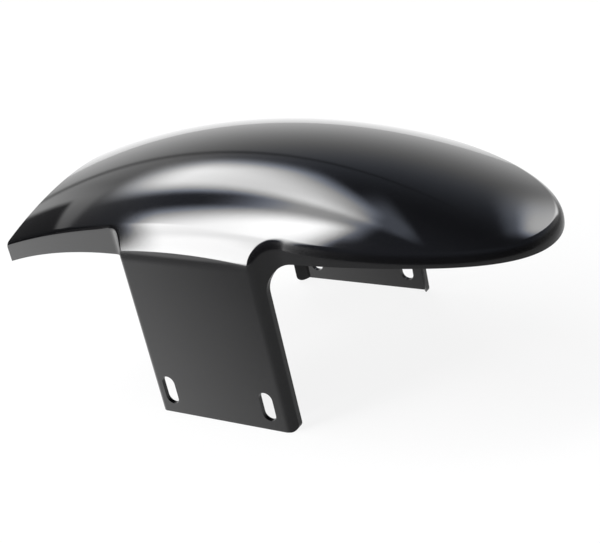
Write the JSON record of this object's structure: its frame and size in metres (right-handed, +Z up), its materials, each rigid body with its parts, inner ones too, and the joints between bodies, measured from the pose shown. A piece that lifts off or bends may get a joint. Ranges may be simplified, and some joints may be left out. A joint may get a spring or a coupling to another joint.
{
  "type": "motorcycle front mudguard",
  "caption": "Short gloss-black front mudguard moulded in one piece, with a crowned roof, a rounded nose and flat side plates slotted for the fork-leg bolts.",
  "frame": {"origin": "midway along and across the guard, at the feet of the side plates", "axes": "+X forward towards the nose, +Y to the rider's left, +Z up"},
  "size_m": [0.31, 0.156, 0.1295],
  "materials": {
    "gloss_black": "gloss black moulded plastic, polished on the roof and satin on the plates"
  },
  "bodies": {
    "root": {"mudguard": "gloss_black"}
  },
  "joints": []
}
